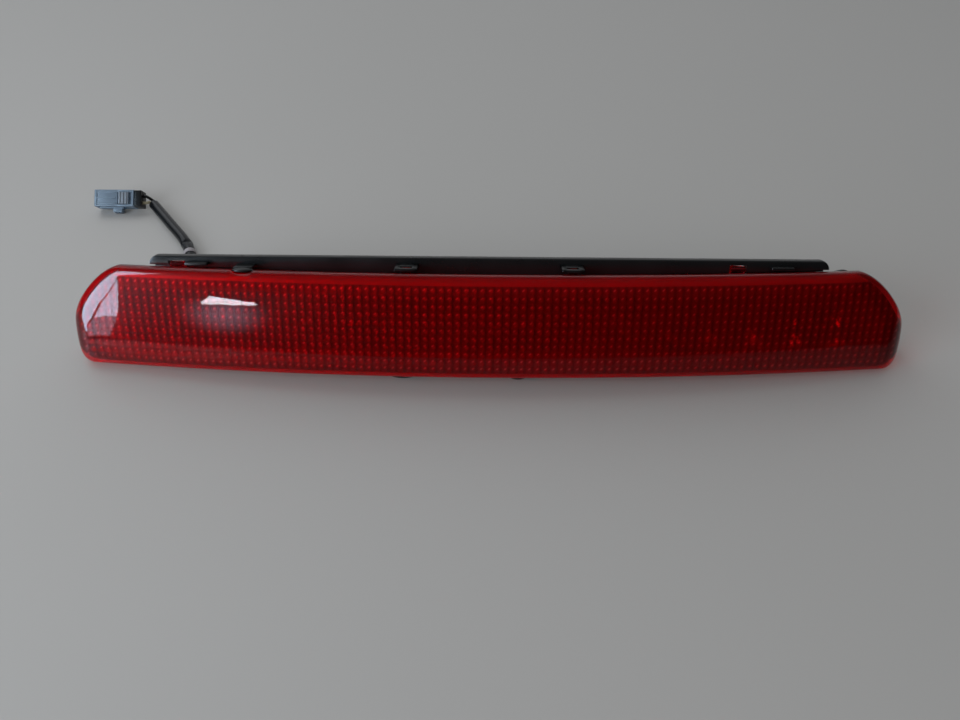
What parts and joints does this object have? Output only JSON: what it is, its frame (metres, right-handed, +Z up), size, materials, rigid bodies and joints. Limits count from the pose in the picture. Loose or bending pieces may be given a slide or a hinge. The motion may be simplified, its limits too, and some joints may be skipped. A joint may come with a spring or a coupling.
{
  "type": "third brake light",
  "caption": "Slim bowed high-level brake lamp with a red lens on a black tray with a top flange, a row of light sources on a board inside and a short sleeved lead ending in a connector.",
  "frame": {"origin": "middle of the lamp's footprint on the surface it rests on, without the lead", "axes": "+Z up from the resting surface, +X along the lamp to the viewer's right when the lens faces them, +Y from the lens towards the back"},
  "size_m": [0.4565, 0.1552, 0.0565],
  "materials": {
    "red_lens": "clear red moulded acrylic, polished outside, pillow optics inside",
    "black_plastic": "moulded black ABS, fine grain",
    "metallised": "vacuum metallised, bright",
    "board": "green solder mask",
    "led_red": "clear red epoxy dome",
    "resistor_tan": "lacquered",
    "component_black": "moulded epoxy",
    "steel": "zinc plated",
    "brass": "tinned brass",
    "black_rubber": "moulded rubber",
    "foam": "closed-cell foam",
    "sleeve_pvc": "glossy black PVC sleeve",
    "connector_grey": "satin grey nylon",
    "retainer_pale": "satin nylon",
    "wire_pale": "PVC insulation",
    "wire_black": "PVC insulation",
    "wire_red": "PVC insulation"
  },
  "bodies": {
    "lamp": {"outer_lens": "red_lens", "lens_seal": "black_rubber", "housing": "black_plastic", "reflector": "metallised", "circuit_board": "board", "diode": "component_black", "mounting_stud_left": "steel", "mounting_stud_right": "steel", "stud_washer_left": "foam", "stud_washer_right": "foam", "vent_cap": "black_rubber", "cable_grommet": "black_rubber", "inner_wire_red": "wire_red", "inner_wire_black": "wire_black", "cable_sleeve": "sleeve_pvc", "plug_wire_1": "wire_pale", "plug_wire_2": "wire_black", "connector_housing": "connector_grey", "connector_cap": "black_plastic", "connector_terminal_1": "brass", "connector_terminal_2": "brass", "led_01": "led_red", "led_02": "led_red", "led_03": "led_red", "led_04": "led_red", "led_05": "led_red", "led_06": "led_red", "led_07": "led_red", "led_08": "led_red", "led_09": "led_red", "led_10": "led_red", "led_11": "led_red", "led_12": "led_red", "led_13": "led_red", "led_14": "led_red", "led_15": "led_red", "led_16": "led_red", "led_17": "led_red", "resistor_1": "resistor_tan", "resistor_2": "resistor_tan", "resistor_3": "resistor_tan", "resistor_4": "resistor_tan", "board_screw_left": "steel", "board_screw_middle": "steel", "board_screw_right": "steel"},
    "lock_arm": {"connector_lock": "connector_grey"},
    "retainer": {"connector_retainer": "retainer_pale"}
  },
  "joints": [
    {"name": "lock_press", "type": "hinge", "parent": "lamp", "child": "lock_arm", "pos_m": [-0.2412, 0.10794, 0.00334], "axis": [0, -0.6428, 0.766], "range_deg": [0, 4], "stiffness_Nm_per_rad": 0.3},
    {"name": "retainer_slide", "type": "slide", "parent": "lamp", "child": "retainer", "axis": [1, 0, 0], "range_m": [0, 0.0015]}
  ]
}
